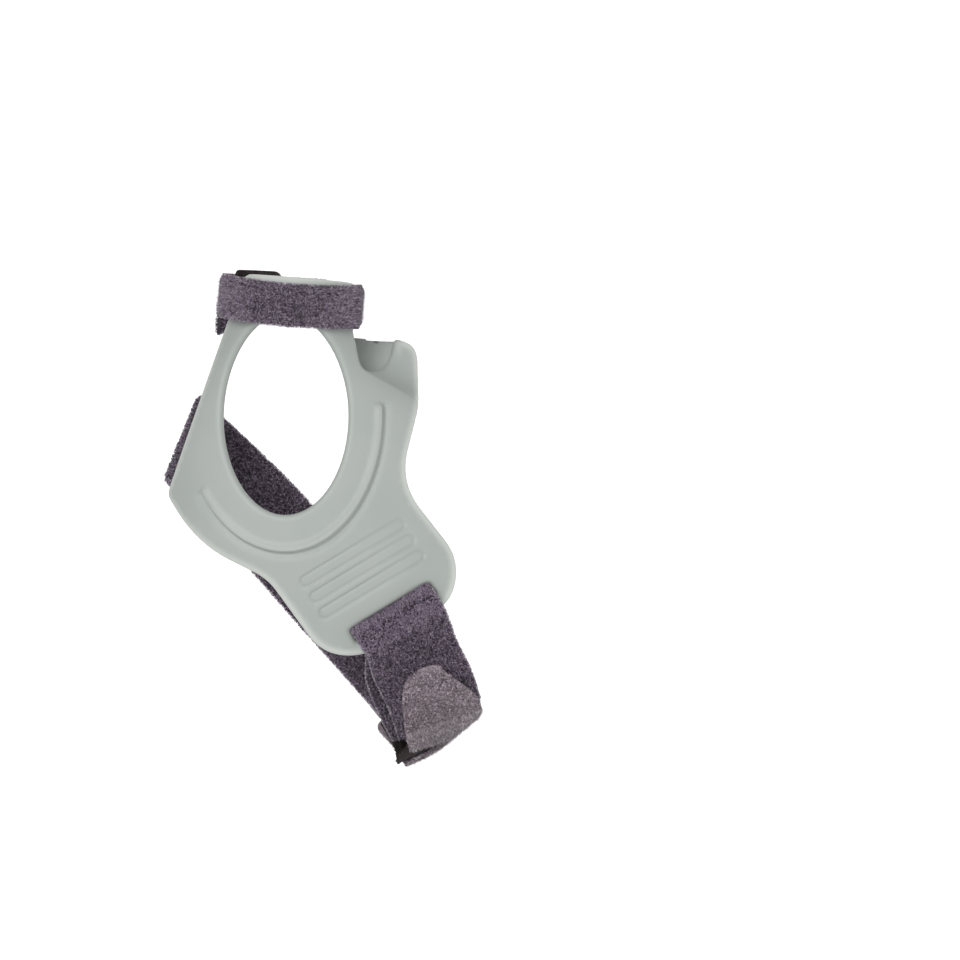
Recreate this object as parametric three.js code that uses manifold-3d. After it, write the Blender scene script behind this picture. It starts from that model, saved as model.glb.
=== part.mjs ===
// Thumb brace in its worn form, in millimetres.
// The palm plate faces -Y, the thumb runs up +Z, and the origin is the centre of the oval window.
import * as THREE from "three";
import { mergeVertices } from "three/addons/utils/BufferGeometryUtils.js";
import Module from "manifold-3d";

const wasm = await Module();
wasm.setup();

// Clearances and wall sizes
const fitGap = 0.35;
const shellThickness = 2.4;
const edgeStep = 2.6;
const shortEdge = 0.03;
const weld = 1e-4;
const probe = 0.05;
const steepest = 0.9;

// Oval window over the ball of the thumb
const oval = { halfWidth: 15.2, halfHeight: 24 };

// Sections of the plate from the thumb collar down to the palm paddle: where each one comes
// nearest the front, and how tightly it curls back to its left and right
const plateRows = [
  { z: -64, crownX: 22, crownY: 10.6, leftR: 95, rightR: 150 },
  { z: -44, crownX: 12, crownY: 6.0, leftR: 60, rightR: 105 },
  { z: -28, crownX: 4, crownY: 2.2, leftR: 38, rightR: 75 },
  { z: -12, crownX: 2, crownY: 0.3, leftR: 33, rightR: 58 },
  { z: 2, crownX: 2, crownY: 0, leftR: 27, rightR: 48 },
  { z: 12, crownX: 2, crownY: 0.2, leftR: 22, rightR: 27 },
  { z: 24, crownX: 2.2, crownY: 1.2, leftR: 16.5, rightR: 15 },
  { z: 38, crownX: 3.2, crownY: 3.0, leftR: 13.6, rightR: 13.8 },
];

// Free edge of the plate seen from the front, counterclockwise from the foot of the web notch;
// round is the length of edge that each corner's curve takes up
const notchFoot = { x: 20.4, z: 9.9 };
const creaseEnd = { x: 31.5, z: 3.7 };
const plateCorners = [
  { x: 18.1, z: 10.4, round: 1.8 },
  { x: 15.4, z: 21.5, round: 3 },
  { x: 16.4, z: 32.0, round: 1.5 },
  { x: -9.2, z: 34.1, round: 1.5 },
  { x: -28.4, z: -19.2, round: 2.2 },
  { x: -21.2, z: -30.9, round: 9 },
  { x: -4.3, z: -39.3, round: 3.5 },
  { x: 9.0, z: -57.9, round: 6.2 },
  { x: 19.3, z: -57.9, round: 4 },
  { x: 41.0, z: -44.4, round: 6.4 },
  { x: 41.0, z: -33.7, round: 4.2 },
  { x: 27.4, z: -16.1, round: 8 },
  { x: 31.75, z: 1.6, round: 1.2 },
];
const ringSteps = 7;
const notchReach = 1.5;

// Lobe beside the web notch, bent back along the crease
const lobe = {
  slope: 0.95,
  leftBend: { x: 24.7, z: 10.2 },
  topLeft: { x: 25.9, z: 17.9 },
  topBend: { x: 29.2, z: 19.4 },
  topRight: { x: 31.4, z: 14.2 },
  creaseSteps: 5,
  riseSteps: 6,
};

// Saddle behind the notch, rising to a straight far edge with a small nick
const saddle = {
  left: 14.4,
  right: 27.6,
  footZ: 8.4,
  farZ: 18.2,
  farFall: 0.075,
  deepX: 20,
  deepY: 22,
  bow: 0.07,
  lift: 1.7,
  stepsX: 8,
  stepsUp: 7,
};
const nick = { x: 20.1, width: 1.7, depth: 0.7, length: 8 };

// Raised bead round the lower half of the window
const bead = { offset: 8, radius: 0.95, sink: 0.3, startDeg: 212.5, endDeg: 364, steps: 30, sides: 6 };

// Grip bars and strap slot on the paddle
const paddleDeg = 31.2;
const bars = {
  count: 3,
  x: 18.5,
  z: -36.9,
  pitch: 4.45,
  length: 29,
  width: 2.8,
  endWidth: 1.4,
  depth: 0.45,
  above: 2,
  steps: 6,
};
const slot = { x: 25.75, z: -47.4, length: 22.2, width: 3.6, through: 14 };

// Hand strap of loop pile: one end lies under the shell's radial edge, it crosses the back of the
// hand, turns round the outer border and runs under the paddle, up through the slot and back over
// itself. Each row is a point on its middle with the lean of its width seen from the front.
const strapThickness = 1.8;
const handStrap = { width: 20.6, steps: 110, edgeZ: -6, edgeDeg: 70.2, tuck: 3.2, tuckGap: 2 };
const fold = { rimGap: 1.05, bend: 1.55, turns: 3, overRim: 4.2 };
const acrossBackRows = [
  { x: -24.4, y: 23.0, z: -5.6, leanDeg: 69 },
  { x: -24.2, y: 31.0, z: -6.8, leanDeg: 66 },
  { x: -18.5, y: 39.0, z: -12.5, leanDeg: 60 },
  { x: -6.0, y: 43.2, z: -25.0, leanDeg: 52 },
  { x: 10.0, y: 44.6, z: -43.0, leanDeg: 46 },
  { x: 24.0, y: 42.4, z: -58.5, leanDeg: 42 },
  { x: 32.0, y: 35.6, z: -67.8, leanDeg: 37 },
  { x: 35.1, y: 27.1, z: -72.3, leanDeg: 34 },
  { x: 35.0, y: 19.4, z: -71.5, leanDeg: 31 },
  { x: 33.2, y: 13.9, z: -67.0, leanDeg: 29 },
  { x: 30.0, y: 11.7, z: -58.6, leanDeg: 28 },
];
const overPalmRows = [
  { x: 30.9, y: 9.2, z: -58.8, leanDeg: 27 },
  { x: 33.8, y: 10.5, z: -66.2, leanDeg: 27 },
];

// Hook tab that clamps the strap's end and closes it round the border: both its edges from the
// rounded tip on the palm to its end on the back of the hand
const tab = { thickness: 1.5, hookThickness: 0.7, hookGap: 0.5, steps: 44 };
const tabRows = [
  { leftX: 34.0, leftY: 5.9, leftZ: -60.6, rightX: 37.3, rightY: 5.9, rightZ: -60.6 },
  { leftX: 30.5, leftY: 6.1, leftZ: -62.3, rightX: 39.6, rightY: 6.2, rightZ: -62.4 },
  { leftX: 28.6, leftY: 6.5, leftZ: -64.6, rightX: 42.5, rightY: 6.8, rightZ: -64.7 },
  { leftX: 27.8, leftY: 7.2, leftZ: -68.4, rightX: 46.0, rightY: 9.0, rightZ: -68.0 },
  { leftX: 28.0, leftY: 9.6, leftZ: -74.4, rightX: 47.0, rightY: 13.0, rightZ: -69.9 },
  { leftX: 28.6, leftY: 14.5, leftZ: -80.0, rightX: 46.9, rightY: 18.5, rightZ: -71.4 },
  { leftX: 28.6, leftY: 24.0, leftZ: -83.2, rightX: 45.6, rightY: 27.0, rightZ: -72.6 },
  { leftX: 26.4, leftY: 33.0, leftZ: -81.4, rightX: 42.4, rightY: 36.0, rightZ: -70.6 },
  { leftX: 21.0, leftY: 40.6, leftZ: -75.6, rightX: 36.6, rightY: 42.4, rightZ: -64.8 },
];

// Thumb strap wound once round the collar and lapped over itself behind the thumb: turn from the
// right side round the back, growth of the loop, and rise along its axis
const thumbStrap = { width: 10.4, thickness: 2.2, steps: 84, leanDeg: 4.5 };
const thumbLoop = { x: 1.4, y: 13.4, z: 27, halfWidth: 16.5, halfDepth: 13.45, squareness: 3 };
const thumbRows = [
  { turnDeg: 70, grow: 0, rise: 1.8 },
  { turnDeg: 180, grow: 0, rise: 0.8 },
  { turnDeg: 270, grow: 0, rise: -0.5 },
  { turnDeg: 360, grow: 0, rise: 0.6 },
  { turnDeg: 395, grow: 0.1, rise: 0.2 },
  { turnDeg: 425, grow: 2.65, rise: -0.8 },
  { turnDeg: 510, grow: 2.65, rise: -3.2 },
];
const thumbHooks = { fromDeg: 88, toDeg: 168, width: 9.6, thickness: 0.7, rise: 1.4, steps: 14 };

const plasticGrey = { color: 0xaeb4b0, roughness: 0.45, metalness: 0 };
const pileMauve = { color: 0x55495a, roughness: 1, metalness: 0 };
const feltGrey = { color: 0x7d727c, roughness: 1, metalness: 0 };
const hookBlack = { color: 0x161517, roughness: 0.8, metalness: 0 };

const degrees = THREE.MathUtils.degToRad;
const along = new THREE.Vector2(Math.cos(degrees(paddleDeg)), Math.sin(degrees(paddleDeg)));
const downward = new THREE.Vector2(along.y, -along.x);

// Crease line between the plate and the lobe
const creaseLine = new THREE.Vector2(creaseEnd.x - notchFoot.x, creaseEnd.z - notchFoot.z).normalize();

const plateProfile = new THREE.CubicInterpolant(
  plateRows.map((row) => row.z),
  plateRows.flatMap((row) => [row.crownX, row.crownY, row.leftR, row.rightR]),
  4,
);

function plateDepth(x, z) {
  const [crownX, crownY, leftR, rightR] = plateProfile.evaluate(z);
  const radius = x < crownX ? leftR : rightR;
  const span = Math.abs(x - crownX);
  const reach = Math.min(span, radius * steepest);
  const rise = Math.sqrt(radius * radius - reach * reach);
  return crownY + radius - rise + ((span - reach) * reach) / rise;
}

// Point on the outer face; above the crease the lobe leans back from the plate at its foot
function onSheet(x, z) {
  const above = (z - notchFoot.z) * creaseLine.x - (x - notchFoot.x) * creaseLine.y;
  if (x < notchFoot.x - notchReach || above < 0) return new THREE.Vector3(x, plateDepth(x, z), z);
  const foot = plateDepth(x + above * creaseLine.y, z - above * creaseLine.x);
  return new THREE.Vector3(x, foot + lobe.slope * above, z);
}

// Point on the outer face with the directions along it and out of it
function sheetFrame(x, z, direction) {
  const dx = onSheet(x + probe, z).sub(onSheet(x - probe, z));
  const dz = onSheet(x, z + probe).sub(onSheet(x, z - probe));
  const normal = new THREE.Vector3().crossVectors(dx, dz).normalize();
  const tangent = dx.multiplyScalar(direction.x).addScaledVector(dz, direction.y).normalize();
  return { point: onSheet(x, z), normal, tangent, side: new THREE.Vector3().crossVectors(normal, tangent) };
}

function geometryFrom(points, index) {
  const geometry = new THREE.BufferGeometry();
  geometry.setAttribute("position", new THREE.Float32BufferAttribute(points.flatMap((p) => p.toArray()), 3));
  geometry.setIndex(index);
  return geometry;
}

function solid(geometry) {
  geometry.deleteAttribute("normal");
  geometry.deleteAttribute("uv");
  const merged = mergeVertices(geometry, weld);
  return new wasm.Manifold(new wasm.Mesh({
    numProp: 3,
    vertProperties: new Float32Array(merged.attributes.position.array),
    triVerts: new Uint32Array(merged.index.array),
  }));
}

// Surface of a cut or joined body, with edges shorter than shortEdge closed up and the pairs of
// triangles that then lie back to back taken out
function geometryOf(body) {
  const mesh = body.getMesh();
  const points = Array.from({ length: mesh.numVert }, (_, i) => {
    return new THREE.Vector3().fromArray(mesh.vertProperties, i * mesh.numProp);
  });
  const home = points.map((_, i) => i);
  const homeOf = (i) => (home[i] === i ? i : homeOf(home[i]));
  const corners = Array.from({ length: mesh.numTri }, (_, i) => [...mesh.triVerts.slice(i * 3, i * 3 + 3)]);
  for (const [a, b, c] of corners) {
    for (const [from, to] of [[a, b], [b, c], [c, a]]) {
      if (points[from].distanceTo(points[to]) < shortEdge) home[homeOf(from)] = homeOf(to);
    }
  }
  const kept = new Map();
  for (const triangle of corners.map((ids) => ids.map(homeOf))) {
    if (new Set(triangle).size < 3) continue;
    const key = [...triangle].sort().join();
    if (!kept.delete(key)) kept.set(key, triangle);
  }
  const geometry = geometryFrom(points, [...kept.values()].flat());
  geometry.computeVertexNormals();
  return geometry;
}

// Closed wall of even thickness behind grids of points on its outer face
function thickSheet(grids, thickness) {
  const points = [];
  const places = new Map();
  const placeOf = (point) => {
    const key = point.toArray().map((v) => v.toFixed(3)).join();
    if (!places.has(key)) {
      places.set(key, points.length);
      points.push(point);
    }
    return places.get(key);
  };
  const front = [];
  for (const grid of grids) {
    const ids = grid.map((row) => row.map(placeOf));
    for (let k = 0; k + 1 < ids.length; k += 1) {
      for (let i = 0; i + 1 < ids[k].length; i += 1) {
        front.push([ids[k][i], ids[k][i + 1], ids[k + 1][i + 1]]);
        front.push([ids[k][i], ids[k + 1][i + 1], ids[k + 1][i]]);
      }
    }
  }
  const surface = geometryFrom(points, front.flat());
  surface.computeVertexNormals();
  const normals = surface.attributes.normal;
  const back = points.map((p, i) => {
    return new THREE.Vector3().fromBufferAttribute(normals, i).multiplyScalar(-thickness).add(p);
  });
  const count = points.length;
  const edges = new Set(front.flatMap(([a, b, c]) => [`${a},${b}`, `${b},${c}`, `${c},${a}`]));
  const triangles = front.flatMap(([a, b, c]) => [a, b, c, c + count, b + count, a + count]);
  for (const edge of edges) {
    const [a, b] = edge.split(",").map(Number);
    if (edges.has(`${b},${a}`)) continue;
    triangles.push(a, a + count, b + count, a, b + count, b);
  }
  return geometryFrom([...points, ...back], triangles);
}

// Closed solid through a run of matching loops of points
function loft(loops) {
  const ring = loops[0].length;
  const index = [];
  for (let k = 0; k + 1 < loops.length; k += 1) {
    for (let i = 0; i < ring; i += 1) {
      const a = k * ring + i;
      const b = k * ring + ((i + 1) % ring);
      index.push(a, b, b + ring, a, b + ring, a + ring);
    }
  }
  const last = (loops.length - 1) * ring;
  for (let i = 1; i + 1 < ring; i += 1) {
    index.push(0, i + 1, i, last, last + i, last + i + 1);
  }
  return geometryFrom(loops.flat(), index);
}

// Flat band between two edge curves, moved out along its own normal by lift
function band(leftPoints, rightPoints, { thickness, steps, lift = 0 }) {
  const left = new THREE.CatmullRomCurve3(leftPoints);
  const right = new THREE.CatmullRomCurve3(rightPoints);
  const rails = Array.from({ length: steps + 1 }, (_, k) => {
    return { a: left.getPoint(k / steps), b: right.getPoint(k / steps) };
  });
  const loops = rails.map(({ a, b }, k) => {
    const before = rails[Math.max(k - 1, 0)];
    const after = rails[Math.min(k + 1, steps)];
    const run = after.a.clone().add(after.b).sub(before.a).sub(before.b);
    const out = new THREE.Vector3().subVectors(b, a).cross(run).normalize();
    const corner = (point, height) => point.clone().addScaledVector(out, lift + height * thickness);
    return [corner(a, -0.5), corner(a, 0.5), corner(b, 0.5), corner(b, -0.5)];
  });
  return loft(loops);
}

function pathFrom(start, corners, end) {
  const path = new THREE.Path().moveTo(start.x, start.z);
  corners.forEach((corner, i) => {
    const here = new THREE.Vector2(corner.x, corner.z);
    const before = i > 0 ? corners[i - 1] : start;
    const after = i + 1 < corners.length ? corners[i + 1] : end;
    const toward = (other) => {
      return new THREE.Vector2(other.x, other.z).sub(here).setLength(corner.round).add(here);
    };
    const first = toward(before);
    const second = toward(after);
    path.lineTo(first.x, first.y);
    path.quadraticCurveTo(here.x, here.y, second.x, second.y);
  });
  return path.lineTo(end.x, end.z);
}

function samplePath(path) {
  return path.curves.flatMap((curve, i) => {
    const least = curve.isLineCurve ? 1 : 3;
    const points = curve.getSpacedPoints(Math.max(least, Math.ceil(curve.getLength() / edgeStep)));
    return i === 0 ? points : points.slice(1);
  });
}

function line2(a, b, steps) {
  const line = new THREE.LineCurve(new THREE.Vector2(a.x, a.z), new THREE.Vector2(b.x, b.z));
  return line.getPoints(steps);
}

function bend2(a, control, b, steps) {
  const curve = new THREE.QuadraticBezierCurve(
    new THREE.Vector2(a.x, a.z),
    new THREE.Vector2(control.x, control.z),
    new THREE.Vector2(b.x, b.z),
  );
  return curve.getPoints(steps);
}

// Ring of plate between the oval window and its outer edge
function plateGrid() {
  const crease = line2(creaseEnd, notchFoot, lobe.creaseSteps);
  const outer = [...samplePath(pathFrom(notchFoot, plateCorners, creaseEnd)), ...crease.slice(1)];
  const inner = outer.map((p) => {
    return p.clone().divideScalar(Math.hypot(p.x / oval.halfWidth, p.y / oval.halfHeight));
  });
  return outer.map((p, i) => {
    return Array.from({ length: ringSteps + 1 }, (_, k) => {
      const here = inner[i].clone().lerp(p, k / ringSteps);
      return onSheet(here.x, here.y);
    });
  });
}

// Lobe filled in between the crease, its two sides and its rounded top
function lobeGrid() {
  const { creaseSteps, riseSteps, leftBend, topLeft, topBend, topRight } = lobe;
  const bottom = line2(notchFoot, creaseEnd, creaseSteps);
  const top = bend2(topLeft, topBend, topRight, creaseSteps);
  const left = bend2(notchFoot, leftBend, topLeft, riseSteps);
  const right = line2(creaseEnd, topRight, riseSteps);
  return left.map((leftPoint, j) => {
    const v = j / riseSteps;
    return bottom.map((bottomPoint, i) => {
      const u = i / creaseSteps;
      const across = leftPoint.clone().lerp(right[j], u);
      const upward = bottomPoint.clone().lerp(top[i], v);
      const low = bottom[0].clone().lerp(bottom[creaseSteps], u);
      const high = top[0].clone().lerp(top[creaseSteps], u);
      const here = across.add(upward).sub(low.lerp(high, v));
      return onSheet(here.x, here.y);
    });
  });
}

function saddleGrid() {
  const { left, right, footZ, farZ, farFall, deepX, deepY, bow, lift, stepsX, stepsUp } = saddle;
  return Array.from({ length: stepsUp + 1 }, (_, j) => {
    const v = j / stepsUp;
    return Array.from({ length: stepsX + 1 }, (_, i) => {
      const x = THREE.MathUtils.lerp(left, right, i / stepsX);
      const footY = onSheet(x, footZ).y + shellThickness / 2;
      const farY = deepY - bow * (x - deepX) ** 2;
      const edgeZ = farZ - farFall * (x - left);
      return new THREE.Vector3(
        x,
        THREE.MathUtils.lerp(footY, farY, v),
        THREE.MathUtils.lerp(footZ, edgeZ, v ** lift),
      );
    });
  });
}

function beadSolid() {
  const points = Array.from({ length: bead.steps + 1 }, (_, i) => {
    const turn = degrees(THREE.MathUtils.lerp(bead.startDeg, bead.endDeg, i / bead.steps));
    const x = (oval.halfWidth + bead.offset) * Math.cos(turn);
    const z = (oval.halfHeight + bead.offset) * Math.sin(turn);
    const { point, normal } = sheetFrame(x, z, along);
    return point.addScaledVector(normal, -bead.sink);
  });
  const section = new THREE.Shape().absarc(0, 0, bead.radius, 0, Math.PI * 2);
  return new THREE.ExtrudeGeometry(section, {
    steps: bead.steps,
    curveSegments: bead.sides,
    bevelEnabled: false,
    extrudePath: new THREE.CatmullRomCurve3(points),
  });
}

// Cutter for one grip bar, following the plate with tapered ends
function barCutter(row) {
  const x = bars.x + downward.x * bars.pitch * row;
  const z = bars.z + downward.y * bars.pitch * row;
  const half = bars.length / 2;
  const loops = Array.from({ length: bars.steps + 1 }, (_, k) => {
    const run = THREE.MathUtils.lerp(-half, half, k / bars.steps);
    const wide = k === 0 || k === bars.steps ? bars.endWidth : bars.width;
    const { point, normal, side } = sheetFrame(x + along.x * run, z + along.y * run, along);
    const corner = (across, height) => {
      return point.clone().addScaledVector(side, across * wide).addScaledVector(normal, height);
    };
    const { depth, above } = bars;
    return [corner(-0.5, -depth), corner(0.5, -depth), corner(0.5, above), corner(-0.5, above)];
  });
  return loft(loops);
}

function slotCutter() {
  const { point, normal, tangent, side } = sheetFrame(slot.x, slot.z, along);
  const basis = new THREE.Matrix4().makeBasis(tangent, side, normal).setPosition(point);
  return new THREE.BoxGeometry(slot.length, slot.width, slot.through).applyMatrix4(basis);
}

function nickCutter() {
  const edgeZ = saddle.farZ - saddle.farFall * (nick.x - saddle.left);
  const cutter = new THREE.BoxGeometry(nick.width, nick.length, nick.depth * 2);
  return cutter.translate(nick.x, saddle.deepY, edgeZ);
}

function shellGeometry() {
  let body = solid(thickSheet([plateGrid(), lobeGrid()], shellThickness));
  body = body.add(solid(thickSheet([saddleGrid()], shellThickness)));
  body = body.subtract(solid(nickCutter()));
  body = body.add(solid(beadSolid()));
  body = body.subtract(solid(slotCutter()));
  for (let row = 0; row < bars.count; row += 1) {
    body = body.subtract(solid(barCutter(row - (bars.count - 1) / 2)));
  }
  return geometryOf(body);
}

// Two edges of a band from points on its middle and the direction of its width
function railsOf(stations, width) {
  return [-0.5, 0.5].map((side) => {
    return stations.map(({ middle, across }) => middle.clone().addScaledVector(across, side * width));
  });
}

function leaning({ x, y, z, leanDeg }) {
  const lean = degrees(leanDeg);
  const across = new THREE.Vector3(Math.cos(lean), 0, Math.sin(lean));
  return { middle: new THREE.Vector3(x, y, z), across };
}

// Strap stations under the shell's radial edge, nearest its end first
function tuckedStations() {
  const [top, bottom] = [plateCorners[3], plateCorners[4]];
  const slide = (handStrap.edgeZ - top.z) / (bottom.z - top.z);
  const edgeX = THREE.MathUtils.lerp(top.x, bottom.x, slide);
  const run = new THREE.Vector2(1, 0).rotateAround(new THREE.Vector2(), degrees(handStrap.edgeDeg));
  const below = shellThickness + handStrap.tuckGap + strapThickness / 2;
  return [handStrap.tuck, handStrap.tuck / 2, 0].map((inward) => {
    const x = edgeX + run.y * inward;
    const z = handStrap.edgeZ - run.x * inward;
    const { point, normal, tangent } = sheetFrame(x, z, run);
    return { middle: point.addScaledVector(normal, -below), across: tangent };
  });
}

// Fold of the strap round the rim between the slot and the paddle's lower edge
function foldStations() {
  const rimX = slot.x + (downward.x * slot.width) / 2;
  const rimZ = slot.z + (downward.y * slot.width) / 2;
  const { point, normal, tangent, side } = sheetFrame(rimX, rimZ, along);
  const ahead = side.clone().negate();
  const core = point.clone().addScaledVector(normal, -shellThickness / 2);
  const reach = (shellThickness + strapThickness) / 2 + fold.rimGap;
  const at = (forward, out) => {
    const middle = core.clone().addScaledVector(ahead, forward).addScaledVector(normal, out);
    return { middle, across: tangent };
  };
  const bend = (side, i) => {
    const turn = (Math.PI / 2) * (i / fold.turns);
    return at(-fold.bend * Math.cos(turn), side * (reach - fold.bend + fold.bend * Math.sin(turn)));
  };
  const quarter = Array.from({ length: fold.turns + 1 }, (_, i) => i);
  return [
    at(fold.overRim, -reach),
    ...quarter.map((i) => bend(-1, fold.turns - i)),
    ...quarter.map((i) => bend(1, i)),
    at(fold.overRim, reach),
  ];
}

function handStrapGeometry() {
  const stations = [
    ...tuckedStations(),
    ...acrossBackRows.map(leaning),
    ...foldStations(),
    ...overPalmRows.map(leaning),
  ];
  const [left, right] = railsOf(stations, handStrap.width);
  return band(left, right, { thickness: strapThickness, steps: handStrap.steps });
}

function tabGeometry(thickness, lift) {
  const left = tabRows.map((row) => new THREE.Vector3(row.leftX, row.leftY, row.leftZ));
  const right = tabRows.map((row) => new THREE.Vector3(row.rightX, row.rightY, row.rightZ));
  return band(left, right, { thickness, steps: tab.steps, lift });
}

const thumbCourse = new THREE.CubicInterpolant(
  thumbRows.map((row) => row.turnDeg),
  thumbRows.flatMap((row) => [row.grow, row.rise]),
  2,
);

function thumbStation(turnDeg, extraRise = 0) {
  const [grow, rise] = thumbCourse.evaluate(turnDeg);
  const power = 2 / thumbLoop.squareness;
  const bulge = (v) => Math.sign(v) * Math.abs(v) ** power;
  const lean = degrees(thumbStrap.leanDeg);
  const axis = new THREE.Vector3(Math.sin(lean), 0, Math.cos(lean));
  const right = new THREE.Vector3(Math.cos(lean), 0, -Math.sin(lean));
  const middle = new THREE.Vector3(thumbLoop.x, thumbLoop.y, thumbLoop.z);
  middle.addScaledVector(right, (thumbLoop.halfWidth + grow) * bulge(Math.cos(degrees(turnDeg))));
  middle.y += (thumbLoop.halfDepth + grow) * bulge(Math.sin(degrees(turnDeg)));
  return { middle: middle.addScaledVector(axis, rise + extraRise), across: axis };
}

function thumbBand(fromDeg, toDeg, { width, thickness, steps, rise = 0, lift = 0 }) {
  const stations = Array.from({ length: steps + 1 }, (_, i) => {
    return thumbStation(THREE.MathUtils.lerp(fromDeg, toDeg, i / steps), rise);
  });
  const [left, right] = railsOf(stations, width);
  return band(left, right, { thickness, steps, lift });
}

const brace = new THREE.Group();

function addPiece(name, geometry, finish) {
  const mesh = new THREE.Mesh(geometry, new THREE.MeshStandardMaterial(finish));
  mesh.name = name;
  brace.add(mesh);
}

const thumbEnds = thumbRows.map((row) => row.turnDeg);
const thumbHookTape = { ...thumbHooks, lift: (thumbStrap.thickness + thumbHooks.thickness) / 2 + fitGap };
const tabHookLift = (tab.thickness + tab.hookThickness) / 2 + tab.hookGap;

addPiece("shell", shellGeometry(), plasticGrey);
addPiece("hand_strap", handStrapGeometry(), pileMauve);
addPiece("hook_tab", tabGeometry(tab.thickness, 0), feltGrey);
addPiece("tab_hooks", tabGeometry(tab.hookThickness, tabHookLift), hookBlack);
addPiece("thumb_strap", thumbBand(thumbEnds[0], thumbEnds.at(-1), thumbStrap), pileMauve);
addPiece("thumb_hooks", thumbBand(thumbHooks.fromDeg, thumbHooks.toDeg, thumbHookTape), hookBlack);

export default brace;
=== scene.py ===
import math
import bpy
import numpy as np
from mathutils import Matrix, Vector
from mathutils.geometry import delaunay_2d_cdt
from mathutils.kdtree import KDTree


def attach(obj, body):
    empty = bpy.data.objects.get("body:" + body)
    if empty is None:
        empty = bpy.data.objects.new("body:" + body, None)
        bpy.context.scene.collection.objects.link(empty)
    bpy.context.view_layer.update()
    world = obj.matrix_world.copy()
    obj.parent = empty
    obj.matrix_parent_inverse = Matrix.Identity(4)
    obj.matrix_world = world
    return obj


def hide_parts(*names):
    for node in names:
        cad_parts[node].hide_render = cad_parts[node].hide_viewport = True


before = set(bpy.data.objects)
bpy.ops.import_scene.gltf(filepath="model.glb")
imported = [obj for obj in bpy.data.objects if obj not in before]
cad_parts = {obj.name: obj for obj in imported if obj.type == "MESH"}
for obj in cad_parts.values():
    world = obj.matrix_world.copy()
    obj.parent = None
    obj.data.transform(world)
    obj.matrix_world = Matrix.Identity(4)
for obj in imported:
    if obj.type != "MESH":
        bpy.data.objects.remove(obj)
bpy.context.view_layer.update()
mm = 0.001  # the sizes below are in mm, Blender works in metres
rng = np.random.default_rng(7)
print("frame loaded:", ", ".join(sorted(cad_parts)))


# shader maths

class Wire:  # an output socket that takes part in sums
    def __init__(self, finish, socket):
        self.finish = finish
        self.socket = socket

    def sum(self, operation, a, b):
        return self.finish.node("Math", {"operation": operation}, {0: a, 1: b})

    def __add__(self, other):
        return self.sum("ADD", self, other)

    def __sub__(self, other):
        return self.sum("SUBTRACT", self, other)

    def __mul__(self, other):
        return self.sum("MULTIPLY", self, other)

    def __pow__(self, other):
        return self.sum("POWER", self, other)

    __radd__ = __add__
    __rmul__ = __mul__


class Finish:  # a material, its nodes and its shader
    def __init__(self, name):
        self.material = bpy.data.materials.new(name)
        self.material.use_nodes = True
        self.tree = self.material.node_tree
        self.tree.nodes.clear()

    def node(self, kind, settings=None, inputs=None, output=0):
        made = self.tree.nodes.new("ShaderNode" + kind)
        for key, value in (settings or {}).items():
            setattr(made, key, value)
        for key, value in (inputs or {}).items():
            if isinstance(value, Wire):
                self.tree.links.new(value.socket, made.inputs[key])
            else:
                made.inputs[key].default_value = value
        return Wire(self, made.outputs[output]) if len(made.outputs) else None

    def mix(self, factor, a, b):  # two colours
        return self.node("Mix", {"data_type": "RGBA"}, {0: factor, 6: a, 7: b}, output=2)

    def noise(self, scale, detail=2.0, roughness=0.5):
        place = self.node("TexCoord", output="Object")
        return self.node("TexNoise", inputs={"Vector": place, "Scale": scale, "Detail": detail,
                                             "Roughness": roughness})

    def between(self, value, low, high):  # 0 below low, 1 above high
        return self.node("MapRange", {"clamp": True}, {"Value": value, "From Min": low, "From Max": high})

    def mark(self):  # the number that a mesh holds at each point
        return self.node("Attribute", {"attribute_name": "mark"}, output="Fac")

    def bump(self, height, strength, distance):
        return self.node("Bump", inputs={"Strength": strength, "Distance": distance, "Height": height})

    def surface(self, **inputs):
        named = {key.replace("_", " "): value for key, value in inputs.items()}
        shader = self.node("BsdfPrincipled", inputs=named)
        self.node("OutputMaterial", inputs={"Surface": shader})
        return self.material


def tone(red, green, blue):  # a colour as it looks on screen, 0 to 255
    def linear(v):
        v = v / 255
        return v / 12.92 if v < 0.04045 else ((v + 0.055) / 1.055) ** 2.4
    return (linear(red), linear(green), linear(blue), 1.0)


# meshes

def setMarks(mesh, marks):  # a number at each point, such as 1 at a fibre's tip or on a rim, for painted shade and painted highlights
    mesh.attributes.new("mark", "FLOAT", "POINT").data.foreach_set("value", marks.astype(np.float32))


def makeMesh(name, points, faces, marks=None):  # points in mm, faces a table of vertex numbers
    mesh = bpy.data.meshes.new(name)
    faces = np.ascontiguousarray(faces, dtype=np.int32)
    mesh.vertices.add(len(points))
    mesh.vertices.foreach_set("co", (np.asarray(points) * mm).astype(np.float32).ravel())
    mesh.loops.add(faces.size)
    mesh.loops.foreach_set("vertex_index", faces.ravel())
    mesh.polygons.add(len(faces))
    mesh.polygons.foreach_set("loop_start", np.arange(0, faces.size, faces.shape[1], dtype=np.int32))
    mesh.polygons.foreach_set("use_smooth", np.ones(len(faces), dtype=bool))
    mesh.update(calc_edges=True)
    mesh.validate()
    if marks is not None:
        setMarks(mesh, marks)
    piece = bpy.data.objects.new(name, mesh)
    bpy.context.scene.collection.objects.link(piece)
    return piece


def finishPiece(piece, material, replaced=None):
    piece.data.materials.clear()
    piece.data.materials.append(material)
    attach(piece, "root")
    if replaced:
        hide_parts(replaced)
    print(f"{piece.name}: {len(piece.data.polygons)} faces")
    return piece


def unit(vectors):
    return vectors / np.maximum(np.linalg.norm(vectors, axis=-1, keepdims=True), 1e-9)


def smoothStep(value, low, high):
    t = np.clip((value - low) / (high - low), 0, 1)
    return t * t * (3 - 2 * t)


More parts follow.
